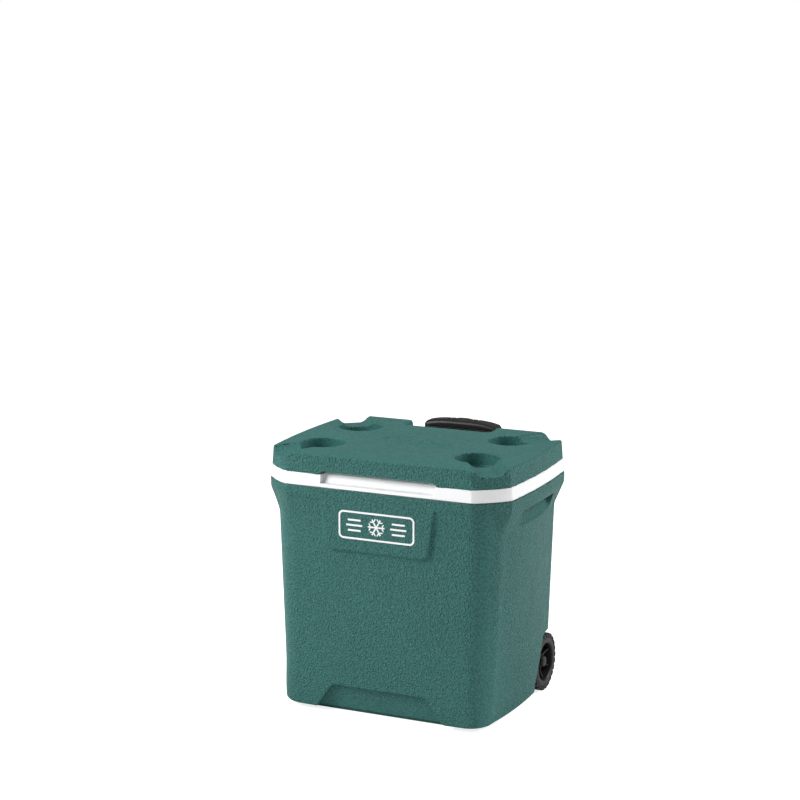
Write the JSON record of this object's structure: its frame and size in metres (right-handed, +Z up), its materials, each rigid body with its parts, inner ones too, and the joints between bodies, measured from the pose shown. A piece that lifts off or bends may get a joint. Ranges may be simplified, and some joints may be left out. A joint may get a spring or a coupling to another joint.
{
  "type": "wheeled cool box",
  "caption": "Rectangular insulated cool box with a hinged lid holding cups, side hand-holds, a telescopic tow handle and rear wheels.",
  "frame": {"origin": "centre of the flat base pad, on the ground, under the middle of the body", "axes": "+Z up, +X to the right seen from the front, the front faces -Y, the wheels and tow handle are at +Y"},
  "size_m": [0.465, 0.3884, 0.4618],
  "materials": {
    "green_shell": "satin",
    "white_liner": "satin",
    "badge_white": "satin",
    "foam": "matte",
    "black_plastic": "satin",
    "tyre_black": "matte",
    "tube_black": "satin",
    "tube_silver": "satin",
    "steel": "satin",
    "nylon": "satin"
  },
  "bodies": {
    "body": {"body_shell": "green_shell", "body_foam": "foam", "body_liner": "white_liner", "front_badge": "badge_white", "axle": "steel", "axle_washers": "steel", "push_nuts": "steel", "handle_upper_bracket": "black_plastic", "handle_lower_bracket": "black_plastic", "bracket_screws": "steel", "outer_tube_left": "tube_black", "outer_tube_right": "tube_black", "tube_collars": "black_plastic", "hinge_leaf_body_left": "black_plastic", "hinge_leaf_body_right": "black_plastic", "hinge_pins": "steel", "hinge_screws_body": "steel"},
    "lid": {"lid_shell": "green_shell", "lid_foam": "foam", "lid_liner": "white_liner", "hinge_leaf_lid_left": "black_plastic", "hinge_leaf_lid_right": "black_plastic", "hinge_screws_lid": "steel"},
    "handle_mid": {"mid_tube_left": "tube_silver", "mid_tube_right": "tube_silver", "mid_collars": "black_plastic"},
    "handle_top": {"top_tube_left": "tube_silver", "top_tube_right": "tube_silver", "grip_lower": "black_plastic", "grip_upper": "black_plastic", "grip_screws": "steel", "button_spring": "steel"},
    "handle_release": {"release_button": "black_plastic", "release_yoke": "nylon"},
    "wheel_left": {"wheel_hub_left": "black_plastic", "wheel_tyre_left": "tyre_black", "wheel_bush_left": "nylon", "wheel_cap_left": "black_plastic"},
    "wheel_right": {"wheel_hub_right": "black_plastic", "wheel_tyre_right": "tyre_black", "wheel_bush_right": "nylon", "wheel_cap_right": "black_plastic"}
  },
  "joints": [
    {"name": "lid_hinge", "type": "hinge", "parent": "body", "child": "lid", "pos_m": [0, 0.1765, 0.418], "axis": [-1, 0, 0], "range_deg": [0, 65]},
    {"name": "handle_stage_1", "type": "slide", "parent": "body", "child": "handle_mid", "axis": [0, 0, 1], "range_m": [0, 0.2]},
    {"name": "handle_stage_2", "type": "slide", "parent": "handle_mid", "child": "handle_top", "axis": [0, 0, 1], "range_m": [0, 0.2]},
    {"name": "release_press", "type": "slide", "parent": "handle_top", "child": "handle_release", "axis": [0, 0, -1], "range_m": [0, 0.003], "stiffness_N_per_m": 1500, "deforming": ["button_spring"]},
    {"name": "wheel_left_spin", "type": "hinge", "parent": "body", "child": "wheel_left", "pos_m": [-0.184, 0.111, 0.052], "axis": [1, 0, 0], "continuous": true},
    {"name": "wheel_right_spin", "type": "hinge", "parent": "body", "child": "wheel_right", "pos_m": [0.184, 0.111, 0.052], "axis": [1, 0, 0], "continuous": true}
  ],
  "couplings": [
    {"joint": "handle_stage_2", "follows": "handle_stage_1", "ratio": 1}
  ]
}
